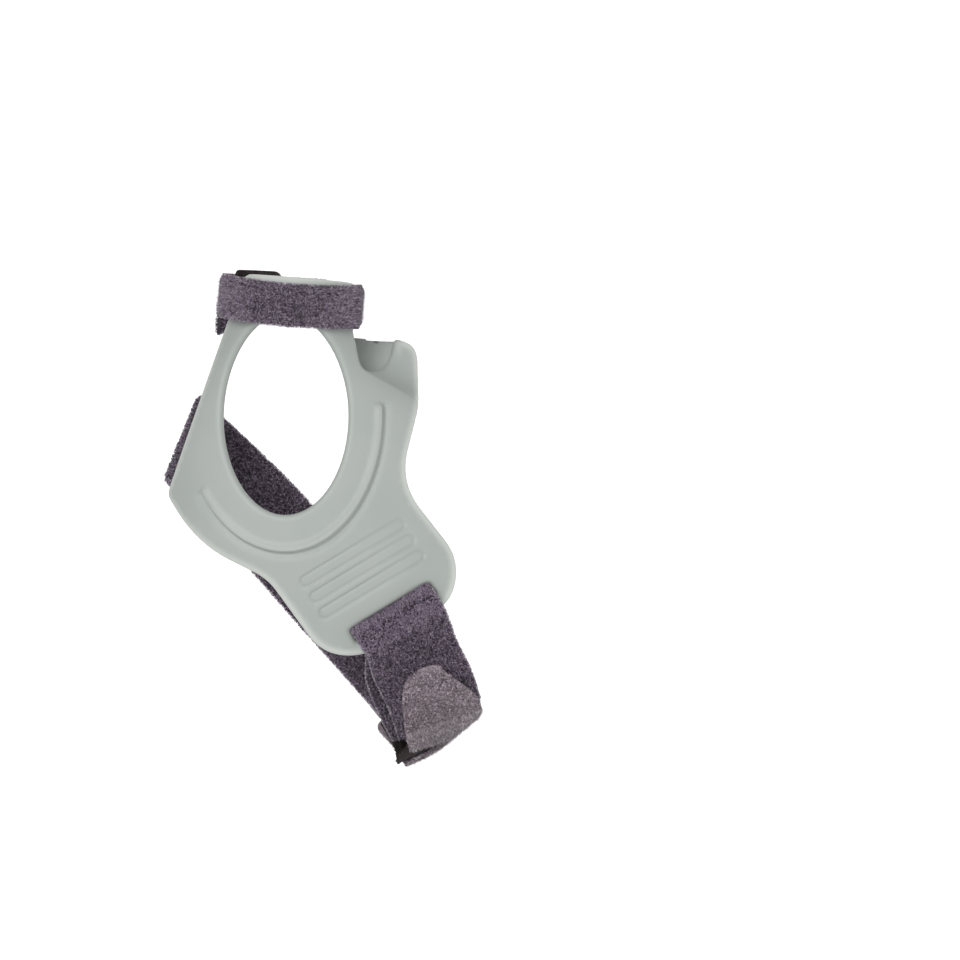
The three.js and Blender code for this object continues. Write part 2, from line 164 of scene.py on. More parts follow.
def gridFaces(rows, columns, closed=False):  # quads over a grid of points, closed joins its sides
    i, j = np.meshgrid(np.arange(rows - 1), np.arange(columns if closed else columns - 1), indexing="ij")
    right = (j + 1) % columns
    corners = [i * columns + j, i * columns + right, (i + 1) * columns + right, (i + 1) * columns + j]
    return np.stack(corners, axis=-1).reshape(-1, 4)


def hermite(t, start, startSlope, end, endSlope):
    low = (2 * t**3 - 3 * t**2 + 1) * start + (t**3 - 2 * t**2 + t) * startSlope
    return low + (3 * t**2 - 2 * t**3) * end + (t**3 - t**2) * endSlope


def inSpace(points):  # flat points get a third number
    return points if points.shape[1] == 3 else np.column_stack([points, np.zeros(len(points))])


def pointTree(points):
    tree = KDTree(len(points))
    for i, p in enumerate(inSpace(points)):
        tree.insert(p, i)
    tree.balance()
    return tree


def distanceTo(tree, points):
    return np.array([tree.find(p)[2] for p in inSpace(points)])


def runLength(points):
    return np.concatenate([[0], np.cumsum(np.linalg.norm(np.diff(points, axis=0), axis=1))])


def resampled(points, run, at):
    return np.column_stack([np.interp(at, run, column) for column in points.T])


def evenly(points, step):  # a closed loop again, with points about step apart
    points = np.vstack([points, points[:1]])
    run = runLength(points)
    at = np.linspace(0, run[-1], max(4, int(round(run[-1] / step))) + 1)[:-1]
    return resampled(points, run, at)


cornerPoints = 24


def roundedLoop(corners, step):  # corners are x, z and the edge that the curve takes before and after
    loop = []
    for i, (x, z, before, after) in enumerate(corners):
        here = np.array([x, z])
        previous, following = np.array(corners[i - 1][:2]), np.array(corners[(i + 1) % len(corners)][:2])
        first = here + unit(previous - here) * before
        second = here + unit(following - here) * after
        t = np.linspace(0, 1, cornerPoints)[:, None]
        loop.append((1 - t)**2 * first + 2 * t * (1 - t) * here + t**2 * second)
    return evenly(np.vstack(loop), step)


def insideLoop(points, loop):
    inside = np.zeros(len(points), bool)
    for (ax, az), (bx, bz) in zip(loop, np.roll(loop, -1, axis=0)):
        if az == bz:
            continue
        crosses = (points[:, 1] > min(az, bz)) & (points[:, 1] <= max(az, bz))
        inside ^= crosses & (points[:, 0] < ax + (points[:, 1] - az) * (bx - ax) / (bz - az))
    return inside


def betweenLoops(points, loops):  # inside the first loop, outside the holes
    keep = insideLoop(points, loops[0])
    for hole in loops[1:]:
        keep &= ~insideLoop(points, hole)
    return keep


def onMaterial(points, loops, clear):  # and clear of every edge
    keep = betweenLoops(points, loops)
    keep[keep] = distanceTo(pointTree(np.vstack(loops)), points[keep]) > clear
    return points[keep]


def edgeRings(loop, side, place, distances):  # rows of points beside an edge
    run = np.roll(loop, -1, axis=0) - np.roll(loop, 1, axis=0)
    inward = unit(np.column_stack([-run[:, 1], run[:, 0]])) * side
    probe = 0.3
    stretch = np.linalg.norm(place(loop + inward * probe)[0] - place(loop)[0], axis=1) / probe
    return [loop + inward * (d / stretch)[:, None] for d in distances]


sheetGrid = {  # spacing of a sheet's points
    "edgeClear": 0.03, "rowClear": 0.5, "rowGap": 0.16, "rimStep": 0.2, "reliefFade": 0.3, "weld": 1e-5,
    "rowPitch": 0.866, "fieldClear": 0.6, "fieldGap": 0.62,  # in shares of its grid
}


def thickSheet(loops, place, settings, rows=None, relief=None):
    # a curved wall with rounded edges: flat outline and holes, carried to their place by a function
    thickness, step = settings["thickness"], settings["grid"]
    radius = thickness / 2
    turned = [np.sum(a[:, 0] * np.roll(a[:, 1], -1) - np.roll(a[:, 0], -1) * a[:, 1]) > 0 for a in loops]
    sides = [(1 if t else -1) * (1 if k == 0 else -1) for k, t in enumerate(turned)]
    distances = [radius * share for share in settings["rings"]]
    beside = np.vstack([p for loop, s in zip(loops, sides) for p in edgeRings(loop, s, place, distances)])
    beside = onMaterial(beside, loops, sheetGrid["edgeClear"])
    guides = beside
    if rows is not None:
        rows = onMaterial(rows, loops, sheetGrid["rowClear"])
        guides = np.vstack([beside, rows[distanceTo(pointTree(beside), rows) > sheetGrid["rowGap"]]])
    low, high = loops[0].min(0), loops[0].max(0)
    xs = np.arange(low[0], high[0], step)
    zs = np.arange(low[1], high[1], step * sheetGrid["rowPitch"])
    field = np.array([(x + (k % 2) * step / 2, z) for k, z in enumerate(zs) for x in xs])
    field = onMaterial(field, loops, step * sheetGrid["fieldClear"])
    field = field[distanceTo(pointTree(guides), field) > step * sheetGrid["fieldGap"]]
    flat = np.vstack(loops + [guides, field])
    edges, border = [], 0
    for loop in loops:
        ids = np.arange(border, border + len(loop))
        edges += list(zip(ids.tolist(), np.roll(ids, -1).tolist()))
        border += len(loop)
    cut = delaunay_2d_cdt([Vector(p) for p in flat], edges, [], 0, sheetGrid["weld"])
    flat, faces = np.array([tuple(p) for p in cut[0]]), np.array(cut[2])
    faces = faces[betweenLoops(flat[faces].mean(axis=1), loops)]
    a, b, c = (flat[faces[:, k]] for k in range(3))
    clockwise = (b - a)[:, 0] * (c - a)[:, 1] - (b - a)[:, 1] * (c - a)[:, 0] < 0
    faces[clockwise] = faces[clockwise][:, ::-1]

    surface, normals = place(flat)
    rim = pointTree(place(np.vstack([evenly(loop, sheetGrid["rimStep"]) for loop in loops]))[0])
    away = np.minimum(distanceTo(rim, surface), radius)
    away[:border] = 0
    drop = radius - np.sqrt(radius**2 - (radius - away)**2)
    raised = relief(flat) * smoothStep(away, sheetGrid["reliefFade"], radius) if relief else 0
    front = surface + normals * (raised - drop)[:, None]
    back = surface - normals * (thickness - drop)[:, None]
    backIds = np.arange(len(flat)) + len(flat)
    backIds[:border] = np.arange(border)
    points, faces = np.vstack([front, back]), np.vstack([faces, backIds[faces][:, ::-1]])
    used = np.unique(faces)
    return points[used], np.searchsorted(used, faces)


# the moulded shell: a curved wall seen from the front as x and z, with its depth y worked out

plate = {
    "thickness": 2.4,
    "grid": 0.62,  # spacing of the points on the wall
    "edge": 0.55,  # spacing along its edges
    "rings": (0.1, 0.3, 0.62, 1.0, 1.5),  # points across the rounded rim, in shares of its radius
    "ovalWidth": 15.2,
    "ovalHeight": 24.0,
    "ovalPoints": 720,
    "steepest": 0.9,  # share of a section's radius beyond which it runs straight
    "normalStep": 0.7,  # the way out of the wall is taken over this step, and near an edge over the next one
    "edgeStep": 0.05,
    "sharpDeg": 38,
}
plateRows = {  # sections from the paddle up to the thumb collar
    "z": (-64, -44, -28, -12, 2, 12, 24, 38),
    "crownX": (22, 12, 4, 2, 2, 2, 2.2, 3.2),
    "crownY": (10.6, 6.0, 2.2, 0.3, 0, 0.2, 1.2, 3.0),
    "leftR": (95, 60, 38, 33, 27, 22, 16.5, 13.6),
    "rightR": (150, 105, 75, 58, 48, 27, 15, 13.8),
}
outlineCorners = [  # x, z, and how much edge the corner's curve takes before and after it
    (18.1, 10.3, 2.2, 3.4), (15.4, 21.5, 3, 3), (16.4, 32.0, 1.6, 1.6), (-9.2, 34.1, 1.6, 1.6),
    (-28.4, -19.2, 2.2, 2.2), (-21.2, -30.9, 9, 9), (-4.3, -39.3, 3.5, 3.5), (9.0, -57.9, 6.2, 6.2),
    (19.3, -57.9, 4, 4), (41.0, -44.4, 6.4, 6.4), (41.0, -33.7, 4.2, 4.2), (27.4, -16.1, 8, 8),
    (31.75, 1.6, 1.6, 1.6), (31.5, 16.6, 4.2, 2.6), (26.1, 18.7, 1.2, 1.2), (24.7, 10.2, 7, 4.2),
]
lobe = {
    "footX": 20.4, "footZ": 9.9, "endX": 31.5, "endZ": 3.7,  # its crease
    "soft": 0.35, "softRun": 2.0, "from": 18.9, "to": 20.6,  # how gently it starts, and over which x
    "footSlope": 2.8, "topSlope": 0.4, "cove": 2.6,  # steep at the crease, easing over the cove's length
    "rows": (-1.2, -0.7, -0.3, 0, 0.3, 0.7, 1.2), "rowPoints": 24,  # points beside the crease
}
bead = {
    "halfWidth": 22.9, "leftHalfWidth": 24.0, "halfHeight": 32.5,  # oval of its middle line
    "startDeg": 212.5, "endDeg": 365.5, "taper": 1.8, "turnSpare": 40.0,
    "height": 0.85, "inner": 1.9, "crest": -0.1, "outer": 1.2,
    "groove": 0.75, "grooveAt": 1.1, "grooveWidth": 0.6, "grooveRise": 1.0,  # along its outer side
    "rows": (-1.9, -1.4, -0.9, -0.4, 0.0, 0.25, 0.5, 0.75, 1.0, 1.22, 1.5, 1.9, 2.4),
    "rowPoints": 150, "rowSpare": 2.0,
}
bars = {
    "count": 3, "x": 18.5, "z": -37.0, "pitch": 4.45, "length": 29.0, "width": 2.6,
    "depth": 0.22, "wall": 0.3, "line": 0.4, "lineWidth": 0.27,  # a sunk field with a fine groove round it
    "rows": (-0.7, -0.45, -0.28, -0.14, 0.0, 0.14, 0.28, 0.5), "arcPoints": 9,
}
slot = {"x": 25.75, "z": -47.4, "length": 22.2, "width": 3.6, "round": 0.7}
paddleDeg = 31.2
along = np.array([math.cos(math.radians(paddleDeg)), math.sin(math.radians(paddleDeg))])
across = np.array([-along[1], along[0]])


def rowCurve(column, at):  # smooth curve through one column of the sections
    knots = np.array(plateRows["z"], float)
    values = np.array(plateRows[column], float)
    slopes = np.gradient(values, knots)
    at = np.clip(at, knots[0], knots[-1])
    i = np.clip(np.searchsorted(knots, at) - 1, 0, len(knots) - 2)
    span = knots[i + 1] - knots[i]
    t = (at - knots[i]) / span
    return hermite(t, values[i], span * slopes[i], values[i + 1], span * slopes[i + 1])


def plateDepth(x, z):
    crownX, crownY = rowCurve("crownX", z), rowCurve("crownY", z)
    radius = np.where(x < crownX, rowCurve("leftR", z), rowCurve("rightR", z))
    span = np.abs(x - crownX)
    reach = np.minimum(span, radius * plate["steepest"])
    rise = np.sqrt(radius**2 - reach**2)
    return crownY + radius - rise + (span - reach) * reach / rise


def sheetDepth(x, z):  # above the crease the lobe leans back from the plate at its foot
    crease = unit(np.array([lobe["endX"] - lobe["footX"], lobe["endZ"] - lobe["footZ"]]))
    above = (z - lobe["footZ"]) * crease[0] - (x - lobe["footX"]) * crease[1]
    lean = 0.5 * (above + np.sqrt(above**2 + lobe["soft"]**2))
    lean = lean - 0.5 * lobe["soft"] * np.exp(-(above / lobe["softRun"])**2)
    lean = np.maximum(lean, 0) * smoothStep(x, lobe["from"], lobe["to"])
    eased = lobe["cove"] * (1 - np.exp(-lean / lobe["cove"]))
    back = lobe["topSlope"] * lean + (lobe["footSlope"] - lobe["topSlope"]) * eased
    return plateDepth(x + lean * crease[1], z - lean * crease[0]) + back


def sheetPoints(flat):
    return np.column_stack([flat[:, 0], sheetDepth(flat[:, 0], flat[:, 1]), flat[:, 1]])


def sheetNormals(flat, step):  # out of the front
    dx = sheetPoints(flat + [step, 0]) - sheetPoints(flat - [step, 0])
    dz = sheetPoints(flat + [0, step]) - sheetPoints(flat - [0, step])
    return unit(np.cross(dx, dz))


def onShell(flat):
    return sheetPoints(flat), sheetNormals(flat, plate["normalStep"])


def tiltedOut(loop):  # the edge is drawn at half the wall's thickness, the wall is worked out on its front
    return loop + sheetNormals(loop, plate["normalStep"])[:, [0, 2]] * plate["thickness"] / 2


def ovalPoint(turn, halfWidth, halfHeight):
    return np.column_stack([halfWidth * np.cos(turn), halfHeight * np.sin(turn)])


def slotLoop():
    half, side = slot["length"] / 2, slot["width"] / 2
    corners = []
    for u, v in ((-half, -side), (half, -side), (half, side), (-half, side)):
        place = np.array([slot["x"], slot["z"]]) + along * u + across * v
        corners.append((place[0], place[1], slot["round"], slot["round"]))
    return roundedLoop(corners, plate["edge"])


def barMiddles():
    centre, first = np.array([bars["x"], bars["z"]]), (bars["count"] - 1) / 2
    return [centre + across * bars["pitch"] * (first - row) for row in range(bars["count"])]


def outsideBar(flat, middle):  # distance outside one grip bar's rounded outline
    u, v = (flat - middle) @ along, (flat - middle) @ across
    half = (bars["length"] - bars["width"]) / 2
    return np.hypot(np.maximum(np.abs(u) - half, 0), v) - bars["width"] / 2


def shellRelief(flat):  # raised bead and sunk grip bars, in mm out of the wall
    width = np.where(flat[:, 0] < 0, bead["leftHalfWidth"], bead["halfWidth"])
    height = bead["halfHeight"]
    turn = np.degrees(np.arctan2(flat[:, 1] / height, flat[:, 0] / width)) % 360
    turn = np.where(turn < bead["startDeg"] - bead["turnSpare"], turn + 360, turn)
    level = np.hypot(flat[:, 0] / width, flat[:, 1] / height)
    steep = np.hypot(flat[:, 0] / width**2, flat[:, 1] / height**2) / np.maximum(level, 1e-6)
    away = (level - 1) / np.maximum(steep, 1e-6)  # mm outside the bead's middle line
    ends = smoothStep(turn, bead["startDeg"], bead["startDeg"] + bead["taper"])
    ends = ends * (1 - smoothStep(turn, bead["endDeg"] - bead["taper"], bead["endDeg"]))
    ridge = smoothStep(away, -bead["inner"], bead["crest"])
    ridge = ridge * (1 - smoothStep(away, bead["crest"], bead["outer"]))
    side = np.where(away < bead["grooveAt"], bead["grooveWidth"], bead["grooveRise"])
    groove = np.exp(-((away - bead["grooveAt"]) / side)**2)
    raised = (bead["height"] * ridge - bead["groove"] * groove) * ends
    sunk = np.zeros(len(flat))
    for middle in barMiddles():
        outside = outsideBar(flat, middle)
        field = 1 - smoothStep(outside, -bars["wall"], 0)
        sunk = sunk + bars["depth"] * field + bars["line"] * np.exp(-(outside / bars["lineWidth"])**2)
    return raised - sunk


def featureRows():  # rows of points that follow the bead, the bars and the crease
    start, end = bead["startDeg"] - bead["rowSpare"], bead["endDeg"] + bead["rowSpare"]
    turns = np.radians(np.linspace(start, end, bead["rowPoints"]))
    widths = np.where(np.cos(turns) < 0, bead["leftHalfWidth"], bead["halfWidth"])
    rows = [ovalPoint(turns, widths + o, bead["halfHeight"] + o) for o in bead["rows"]]
    for middle in barMiddles():
        for grow in bars["rows"]:
            half, side = (bars["length"] - bars["width"]) / 2, bars["width"] / 2 + grow
            arc = np.linspace(-math.pi / 2, math.pi / 2, bars["arcPoints"])
            right = np.column_stack([half + side * np.cos(arc), side * np.sin(arc)])
            loop = evenly(np.vstack([right, -right]), plate["edge"])
            rows.append(middle + loop[:, :1] * along + loop[:, 1:] * across)
    foot, end = [lobe["footX"], lobe["footZ"]], [lobe["endX"], lobe["endZ"]]
    crease = np.linspace(foot, end, lobe["rowPoints"])
    turned = unit(np.array([lobe["footZ"] - lobe["endZ"], lobe["endX"] - lobe["footX"]]))
    rows += [crease + turned * o for o in lobe["rows"]]
    return np.vstack(rows)


def outlineLoop():
    return evenly(tiltedOut(roundedLoop(outlineCorners, plate["edge"])), plate["edge"])


def wallMesh():
    turns = np.linspace(0, 2 * math.pi, plate["ovalPoints"], endpoint=False)
    window = evenly(ovalPoint(turns, plate["ovalWidth"], plate["ovalHeight"]), plate["edge"])
    holes = [evenly(tiltedOut(loop), plate["edge"]) for loop in (window, slotLoop())]
    return thickSheet([outlineLoop()] + holes, onShell, plate, featureRows(), shellRelief)


saddle = {
    "left": 15.5, "right": 27.6, "footZ": 8.4, "farZ": 19.35, "farFall": 0.075,
    "deepX": 20.0, "deepY": 22.0, "bow": 0.07, "lift": 2.5, "columns": 90, "rows": 90, "crowd": 0.8,
    "stepX": 19.2, "stepSoft": 0.3, "stepFrom": 0.8, "stepDown": 0.35,  # small step in its far edge
    "slitX": (21.0, 22.1), "slitRun": (0.35, 1.1), "slitSoft": 0.2, "slitDepth": 0.9, "weld": 0.002,
}


def saddleMesh():  # ramp behind the web notch, up to a far edge with a small step
    x = np.linspace(saddle["left"], saddle["right"], saddle["columns"])[None, :]
    v = np.linspace(0, 1, saddle["rows"])[:, None]**saddle["crowd"]
    footY = sheetDepth(x, np.full_like(x, saddle["footZ"])) + plate["thickness"] / 2
    farY = saddle["deepY"] - saddle["bow"] * (x - saddle["deepX"])**2
    farZ = saddle["farZ"] - saddle["farFall"] * (x - saddle["left"])
    y = footY + (farY - footY) * v
    z = saddle["footZ"] + (farZ - saddle["footZ"]) * v**saddle["lift"]
    step = smoothStep(x, saddle["stepX"], saddle["stepX"] + saddle["stepSoft"])
    z = z - saddle["stepDown"] * step * smoothStep(v, saddle["stepFrom"], 1)
    points = np.stack([np.broadcast_to(x, y.shape), y, z], axis=-1)
    normals = unit(np.cross(np.gradient(points, axis=1), np.gradient(points, axis=0)))
    run = np.linalg.norm(points - points[-1:], axis=-1)
    radius = plate["thickness"] / 2
    drop = (radius - np.sqrt(radius**2 - (radius - np.minimum(run, radius))**2))[..., None]
    (x0, x1), (r0, r1), soft = saddle["slitX"], saddle["slitRun"], saddle["slitSoft"]
    slit = smoothStep(x, x0, x0 + soft) * (1 - smoothStep(x, x1 - soft, x1))
    slit = slit * smoothStep(run, r0, r0 + soft) * (1 - smoothStep(run, r1 - soft, r1))
    front = (points - normals * (drop + saddle["slitDepth"] * slit[..., None])).reshape(-1, 3)
    back = (points - normals * (plate["thickness"] - drop)).reshape(-1, 3)
    quads = gridFaces(saddle["rows"], saddle["columns"])
    ids = np.arange(len(front)).reshape(saddle["rows"], saddle["columns"])
    loop = np.concatenate([ids[0, :-1], ids[:-1, -1], ids[-1, :0:-1], ids[:0:-1, 0]])
    after = np.roll(loop, -1)
    sides = np.column_stack([after, loop, loop + len(front), after + len(front)])
    faces = np.vstack([quads, quads[:, ::-1] + len(front), sides])
    return np.vstack([front, back]), faces


# painted highlight along the shell's outer rim: how far in it reaches, and where round the notch it is left
# out
paintedRimHighlight = {"reach": 2.3, "notchX": (14.0, 16.5, 26.5, 28.5), "notchZ": (5.5, 9.0)}


def paintedRimHighlightMarks(mesh):  # painted rim highlight: 1 along the outer edge, fading inwards, and nothing round the notch
    points = np.array([v.co for v in mesh.vertices]) / mm
    place, normals = onShell(evenly(outlineLoop(), sheetGrid["rimStep"]))
    rim = pointTree(place - normals * plate["thickness"] / 2)
    x0, x1, x2, x3 = paintedRimHighlight["notchX"]
    notch = smoothStep(points[:, 0], x0, x1) * (1 - smoothStep(points[:, 0], x2, x3))
    notch = notch * smoothStep(points[:, 2], *paintedRimHighlight["notchZ"])
    return (1 - np.minimum(distanceTo(rim, points) / paintedRimHighlight["reach"], 1)) * (1 - notch)


def appliedMesh(piece, kind, **settings):  # a modifier, set and made real
    change = piece.modifiers.new(kind.lower(), kind)
    for key, value in settings.items():
        setattr(change, key, value)
    bpy.context.view_layer.update()
    made = bpy.data.meshes.new_from_object(piece.evaluated_get(bpy.context.evaluated_depsgraph_get()))
    piece.modifiers.clear()
    piece.data = made


plastic = {
    "dark": tone(155, 161, 157), "light": tone(161, 166, 162), "cloud": 55.0,
    "pale": tone(220, 223, 217), "rimHighlightCurve": 0.7, "rimHighlightShare": 0.9,  # painted highlight: lighter along the outer rim
    "grain": 1500.0, "rough": 0.5, "roughSpread": 0.12, "bump": 0.12, "bumpDepth": 0.00006,
}


def shellPlastic():
    finish = Finish("shell_plastic")
    cloud = finish.noise(plastic["cloud"], 3.0)
    grain = finish.noise(plastic["grain"], 3.0, 0.6)
    base = finish.mix(finish.between(cloud, 0.3, 0.7), plastic["dark"], plastic["light"])
    # painted highlight: the rim mark lightens the plastic towards the pale tone
    rim = finish.mark() ** plastic["rimHighlightCurve"] * plastic["rimHighlightShare"]
    rough = plastic["rough"] + plastic["roughSpread"] * finish.between(grain, 0.35, 0.65)
    return finish.surface(Base_Color=finish.mix(rim, base, plastic["pale"]), Roughness=rough,
                          Normal=finish.bump(grain, plastic["bump"], plastic["bumpDepth"]),
                          Specular_IOR_Level=0.4, IOR=1.47, Coat_Weight=0.08, Coat_Roughness=0.3)


shellPiece = makeMesh("shell_moulding", *wallMesh())
saddlePiece = makeMesh("saddle", *saddleMesh())
appliedMesh(saddlePiece, "WELD", merge_threshold=saddle["weld"] * mm)
appliedMesh(shellPiece, "BOOLEAN", operation="UNION", object=saddlePiece, solver="EXACT")
bpy.data.objects.remove(saddlePiece)
shellPiece.data.set_sharp_from_angle(angle=math.radians(plate["sharpDeg"]))
setMarks(shellPiece.data, paintedRimHighlightMarks(shellPiece.data))
finishPiece(shellPiece, shellPlastic(), "shell")


# bands: strips between two edge curves

def smoothCurve(points, count):  # centripetal curve through the points
    points = np.asarray(points, float)
    ends = np.vstack([2 * points[0] - points[1], points, 2 * points[-1] - points[-2]])
    at = np.linspace(0, len(points) - 1, count)
    i = np.minimum(at.astype(int), len(points) - 2)
    t = (at - i)[:, None]
    p0, p1, p2, p3 = ends[i], ends[i + 1], ends[i + 2], ends[i + 3]
    d0, d1, d2 = (np.sqrt(np.linalg.norm(b - a, axis=1))[:, None] for a, b in ((p0, p1), (p1, p2), (p2, p3)))
    m1 = ((p1 - p0) / d0 - (p2 - p0) / (d0 + d1) + (p2 - p1) / d1) * d1
    m2 = ((p2 - p1) / d1 - (p3 - p1) / (d1 + d2) + (p3 - p2) / d2) * d1
    return hermite(t, p1, m1, p2, m2)


bandGrid = {"finer": 6, "bendSpan": 21, "arc": 7, "level": 15}  # samples along, and points of its section


class Band:  # two edge curves, even along their length, and the ways along, across and out of the band
    def __init__(self, left, right, count):
        fine = count * bandGrid["finer"]
        left, right = smoothCurve(left, fine), smoothCurve(right, fine)
        run = runLength((left + right) / 2)
        even = np.linspace(0, run[-1], count)
        self.left, self.right = resampled(left, run, even), resampled(right, run, even)
        self.length = float(run[-1])
        self.run = run / run[-1]
        self.across = unit(self.right - self.left)
        self.out = unit(np.cross(self.across, np.gradient(self.left + self.right, axis=0)))
        self.along = unit(np.cross(self.out, self.across))
        bend = np.linalg.norm(np.gradient(self.along, axis=0), axis=1) * (count - 1) / self.length
        span = bandGrid["bendSpan"]
        self.bend = np.convolve(np.pad(bend, span // 2, "edge"), np.ones(span) / span, "valid")  # turn per mm

    def share(self, station, count):  # how far along the band one of its stations is, 0 to 1
        return float(self.run[int(round(station / (count - 1) * (len(self.run) - 1)))])

    def at(self, t, q):  # t along and q across, 0 to 1
        where = np.clip(t, 0, 1) * (len(self.left) - 1)
        i = np.minimum(where.astype(int), len(self.left) - 2)
        f = (where - i)[:, None]
        curves = (self.left, self.right, self.out, self.along)
        left, right, out, run = (v[i] * (1 - f) + v[i + 1] * f for v in curves)
        return left + (right - left) * q[:, None], unit(out), unit(run), unit(right - left)


def bandFrom(stations, width, count):  # stations are a middle point and the way across
    widths = np.broadcast_to(width, len(stations))
    left = [middle - side * wide / 2 for (middle, side), wide in zip(stations, widths)]
    right = [middle + side * wide / 2 for (middle, side), wide in zip(stations, widths)]
    return Band(left, right, count)


def bandSolid(band, thickness, lift=0.0):  # closed strip with rounded edges
    count, half = len(band.left), thickness / 2
    arc = np.linspace(-math.pi / 2, math.pi / 2, bandGrid["arc"])
    level = np.linspace(1, 0, bandGrid["level"])[1:-1]
    section = [(1, half * math.cos(a), half * math.sin(a)) for a in arc] + [(q, 0, half) for q in level]
    section += [(0, -half * math.cos(a), half * math.sin(a)) for a in arc[::-1]]
    section += [(q, 0, -half) for q in level[::-1]]
    rows = []
    left, right = band.left + band.across * half, band.right - band.across * half
    for q, push, height in section:
        rows.append(left + (right - left) * q + band.across * push + band.out * (height + lift))
    ring = len(section)
    points = np.stack(rows, axis=1).reshape(-1, 3)
    quads = gridFaces(count, ring, closed=True)
    i = np.arange(ring)
    j = (i + 1) % ring
    last, near, far = (count - 1) * ring, count * ring, count * ring + 1
    points = np.vstack([points, points[:ring].mean(0), points[last:].mean(0)])
    nearCap = np.column_stack([j, i, np.full(ring, near)])
    farCap = np.column_stack([last + i, last + j, np.full(ring, far)])
    return points, np.vstack([quads[:, [0, 1, 2]], quads[:, [0, 2, 3]], nearCap, farCap])


# pile: one small bent ribbon for each loop, hair or hook

loopPile = {
    "height": 0.72, "width": 0.18, "lean": 0.55, "uneven": 0.35,
    "shape": ((-0.1, -0.6, 1.0), (0.8, -0.4, 1.0), (0.95, 0.25, 1.0), (0.1, 0.7, 0.8)),  # rise, run, width
}
edgePile = {**loopPile, "height": 0.5, "lean": 0.9, "width": 0.12}
feltPile = {
    "height": 0.24, "width": 0.13, "lean": 2.0, "uneven": 0.5,
    "shape": ((-0.3, -0.8, 0.6), (0.8, -0.1, 1.0), (1.0, 0.7, 0.5)),
}
feltFringe = {**feltPile, "height": 0.75, "width": 0.07, "lean": 0.7}
hookPile = {
    "height": 0.55, "width": 0.2, "lean": 0.45, "uneven": 0.1,
    "shape": ((-0.2, 0.0, 1.2), (0.75, 0.0, 0.9), (1.0, 0.5, 0.8), (0.75, 1.0, 0.6)),
}
hazePile = {  # sparse thin hairs that stand out of the loops
    "height": 1.15, "width": 0.04, "lean": 0.8, "uneven": 0.35,
    "shape": ((0.2, -0.3, 1.0), (0.7, 0.1, 0.9), (1.0, 0.7, 0.5)),
}
pileOpens = {"bend": (0.04, 0.14), "paintedSheen": 0.72, "longer": 0.25}  # where the tape turns, its pile opens out and grows longer, and painted sheen makes it lighter
pileEdge = {"short": 0.4, "run": 1.4, "sink": 0.1}  # and it is shorter over this run from an edge
pileTilt = 0.25  # spread of each loop's sideways lean


def pileMesh(name, settings, roots, out, run, grow=1.0, pale=0.0):
    count = len(roots)
    spread = settings["uneven"]
    height = grow * settings["height"] * rng.uniform(1 - spread, 1 + spread, (count, 1))
    width = settings["width"] * rng.uniform(1 - spread, 1 + spread, (count, 1))
    turn = rng.uniform(0, 2 * math.pi, (count, 1))
    bend = unit(run * np.cos(turn) + np.cross(out, run) * np.sin(turn))
    tilt = rng.normal(0, pileTilt, (count, 1))
    up = unit(out + np.cross(out, bend) * tilt)
    flank = np.cross(up, bend)
    rows, paintedShadeByHeight = [], []
    for rise, over, wide in settings["shape"]:
        middle = roots + up * height * rise + bend * settings["height"] * settings["lean"] * over
        rows += [middle - flank * width * wide / 2, middle + flank * width * wide / 2]
        # painted shade: 0 at the root, growing with height up the fibre
        paintedShadeByHeight += [max(rise, 0)] * 2
    ring = len(rows)
    start = (np.arange(count) * ring)[:, None]
    steps = range(0, ring - 2, 2)
    quads = [np.hstack([start + k, start + k + 1, start + k + 3, start + k + 2]) for k in steps]
    # marks: painted shade by height, plus painted sheen where the tape turns
    marks = np.tile(paintedShadeByHeight, (count, 1)) + pale
    return makeMesh(name, np.stack(rows, axis=1).reshape(-1, 3), np.vstack(quads), marks.ravel())


def bandRoots(band, area, perArea, side, lift):  # roots on one face, from t0 to t1
    t0, t1 = area
    width = float(np.linalg.norm(band.right - band.left, axis=1).mean())
    count = int(perArea * width * band.length * (t1 - t0))
    t, q = rng.uniform(t0, t1, count), rng.uniform(0, 1, count)
    place, out, run = band.at(t, q)[:3]
    turned = np.interp(t * (len(band.bend) - 1), np.arange(len(band.bend)), band.bend)
    opened = smoothStep(turned, *pileOpens["bend"])
    inward = smoothStep(np.minimum(q, 1 - q) * width, 0, pileEdge["run"])
    grow = pileEdge["short"] + (1 - pileEdge["short"]) * inward + pileOpens["longer"] * opened
    # painted sheen: the pile is lighter where the tape turns away
    return place + out * (side * lift), out * side, run, grow[:, None], pileOpens["paintedSheen"] * opened[:, None]


def edgeRoots(band, area, perLength, thickness):  # roots along both long edges
    t0, t1 = area
    count = int(perLength * band.length * (t1 - t0)) * 2
    t, q = rng.uniform(t0, t1, count), rng.integers(0, 2, count).astype(float)
    place, out, run, wide = band.at(t, q)
    side = wide * (2 * q - 1)[:, None]
    height = rng.uniform(-0.5, 0.5, (count, 1)) * thickness
    return place + out * height - side * pileEdge["sink"], unit(side + out * height / thickness), run


def tapeFinish(name, dark, light, scale, detail=0.6, bump=(0.6, 0.0002), rough=0.95, **more):
    finish = Finish(name)
    weave = finish.noise(scale, 2.0, detail)
    base = finish.mix(finish.between(weave, 0.35, 0.7), dark, light)
    return finish.surface(Base_Color=base, Roughness=rough, Normal=finish.bump(weave, *bump), **more)


fibreShade = {"tip": 0.45, "each": 1.1, "eachCurve": 4.0, "patch": 0.3, "patchScale": 300.0, "less": 0.36}


